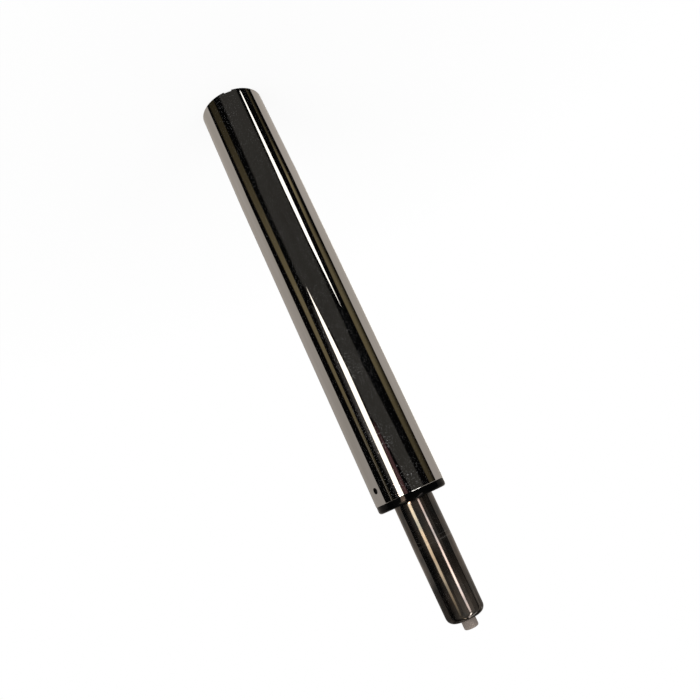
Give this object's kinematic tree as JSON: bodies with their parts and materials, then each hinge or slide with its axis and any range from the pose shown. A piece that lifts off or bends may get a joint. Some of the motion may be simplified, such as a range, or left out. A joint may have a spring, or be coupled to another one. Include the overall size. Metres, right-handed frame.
{
  "type": "chair gas lift cylinder",
  "caption": "Chair gas lift cylinder: a tapered chromed column with a gas spring that slides and swivels in it, and a release button on top that unlocks its height.",
  "frame": {"origin": "centre of the column's base rim, on the axis, at the level that the rim stands on", "axes": "+Z along the axis from the base rim to the release button; -Y is the side that the picture shows"},
  "size_m": [0.05, 0.05, 0.4175],
  "materials": {
    "chrome": "bright decorative chrome plate on steel tube",
    "black_nylon": "moulded black nylon with a slight gloss",
    "tube_coating": "glossy black coat on steel tube, with fine handling marks",
    "button_grey": "matte taupe grey moulded plastic",
    "plain_steel": "zinc-plated pressed steel",
    "bearing_steel": "ground and polished hardened steel",
    "hard_chrome": "hard chrome, ground and polished",
    "spring_steel": "oiled dark spring steel",
    "rubber": "black moulded rubber",
    "natural_nylon": "natural moulded nylon",
    "aluminium": "turned aluminium",
    "bronze": "sintered bronze"
  },
  "bodies": {
    "column": {"column_tube": "chrome", "base_plate": "plain_steel", "guide_bush": "black_nylon", "lower_race": "bearing_steel"},
    "ball_cage": {"ball_cage": "natural_nylon", "bearing_balls": "bearing_steel"},
    "rod": {"piston_rod": "hard_chrome", "upper_race": "bearing_steel", "support_washer": "plain_steel", "bumper": "rubber", "base_washer": "plain_steel", "retaining_clip": "spring_steel", "piston": "aluminium", "piston_seal": "rubber", "wear_ring": "natural_nylon", "piston_washer": "plain_steel", "piston_nut": "plain_steel"},
    "gas_tube": {"pressure_tube": "tube_coating", "inner_cylinder": "plain_steel", "rod_guide": "bronze", "rod_seal": "rubber", "seal_washer": "plain_steel", "cylinder_foot": "aluminium", "valve_body": "aluminium", "valve_rings": "rubber", "pin_seal": "rubber", "button_guide": "natural_nylon"},
    "button": {"release_button": "button_grey", "valve_pin": "spring_steel"}
  },
  "joints": [
    {"name": "swivel", "type": "hinge", "parent": "column", "child": "rod", "pos_m": [0, 0, 0.0132], "axis": [0, 0, 1], "continuous": true},
    {"name": "lift", "type": "slide", "parent": "rod", "child": "gas_tube", "axis": [0, 0, 1], "range_m": [0, 0.22]},
    {"name": "press", "type": "slide", "parent": "gas_tube", "child": "button", "axis": [0, 0, -1], "range_m": [0, 0.003], "stiffness_N_per_m": 2000, "springref_m": -0.02},
    {"name": "cage_turn", "type": "hinge", "parent": "column", "child": "ball_cage", "pos_m": [0, 0, 0.0132], "axis": [0, 0, 1], "continuous": true}
  ],
  "couplings": [
    {"joint": "cage_turn", "follows": "swivel", "ratio": 0.5}
  ]
}
